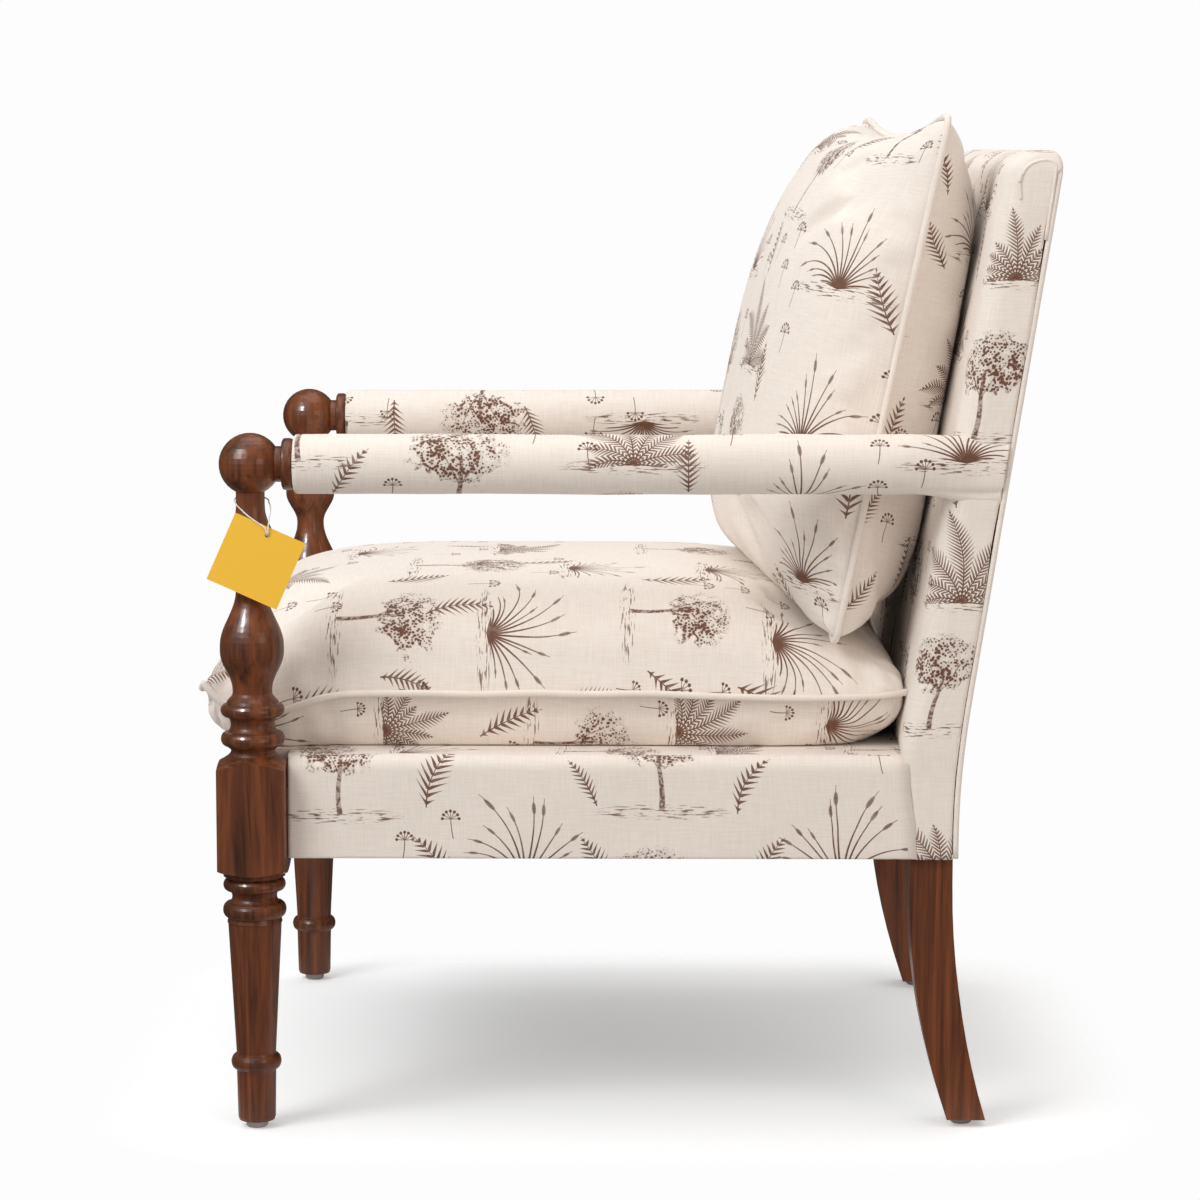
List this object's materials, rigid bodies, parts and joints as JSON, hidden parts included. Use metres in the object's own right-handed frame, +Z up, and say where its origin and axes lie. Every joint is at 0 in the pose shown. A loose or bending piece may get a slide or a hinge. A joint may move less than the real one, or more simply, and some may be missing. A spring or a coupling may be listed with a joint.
{
  "type": "open-arm accent chair",
  "caption": "Open-arm chair: turned front posts with ball tops, padded round arms, sabre rear legs, upholstered seat band and raked back, loose piped seat cushion and back pillow.",
  "frame": {"origin": "on the floor, under the middle of the chair's box", "axes": "+Z up, -Y the front, +X the sitter's left"},
  "size_m": [0.6841, 0.7855, 0.9366],
  "materials": {
    "wood": "satin",
    "fabric": "matte",
    "piping": "matte",
    "frame_wood": "matte",
    "foam": "matte",
    "dark_cloth": "matte",
    "board": "matte",
    "steel": "satin",
    "glide": "satin",
    "tag_card": "matte",
    "string": "matte"
  },
  "bodies": {
    "chair": {"front_post_left": "wood", "front_post_right": "wood", "rear_leg_left": "wood", "rear_leg_right": "wood", "arm_collar_left": "wood", "arm_collar_right": "wood", "arm_rail_left": "frame_wood", "arm_rail_right": "frame_wood", "arm_pad_left": "foam", "arm_pad_right": "foam", "arm_cover_left": "fabric", "arm_cover_right": "fabric", "arm_screws": "steel", "front_seat_rail": "frame_wood", "back_seat_rail": "frame_wood", "side_rail_left": "frame_wood", "side_rail_right": "frame_wood", "rail_dowels": "frame_wood", "corner_blocks": "frame_wood", "corner_screws": "steel", "seat_springs": "steel", "spring_clips": "steel", "spring_cloth": "foam", "deck_pad": "foam", "seat_cover": "fabric", "dust_cover": "dark_cloth", "back_top_rail": "frame_wood", "back_lower_rail": "frame_wood", "back_dowels": "frame_wood", "back_webbing": "dark_cloth", "back_pad": "foam", "back_cover": "fabric", "back_board": "board", "outside_back": "fabric", "back_welt": "piping", "glides": "glide", "glide_nails": "steel"},
    "loose_cushion": {"seat_cushion": "fabric", "seat_cushion_welt": "piping"},
    "loose_pillow": {"back_pillow": "fabric", "back_pillow_welt": "piping"},
    "tag": {"hang_tag": "tag_card", "tag_string": "string", "tag_knot": "string"}
  },
  "joints": [
    {"name": "cushion_slides_out", "type": "slide", "parent": "chair", "child": "loose_cushion", "axis": [0, -1, 0], "range_m": [0, 0.7]},
    {"name": "pillow_lifts_out", "type": "slide", "parent": "chair", "child": "loose_pillow", "axis": [0, 0, 1], "range_m": [0, 0.55]},
    {"name": "tag_swings_round", "type": "hinge", "parent": "chair", "child": "tag", "pos_m": [0.311, -0.3418, 0.58], "axis": [0, 0, 1], "range_deg": [-90, 20]}
  ]
}
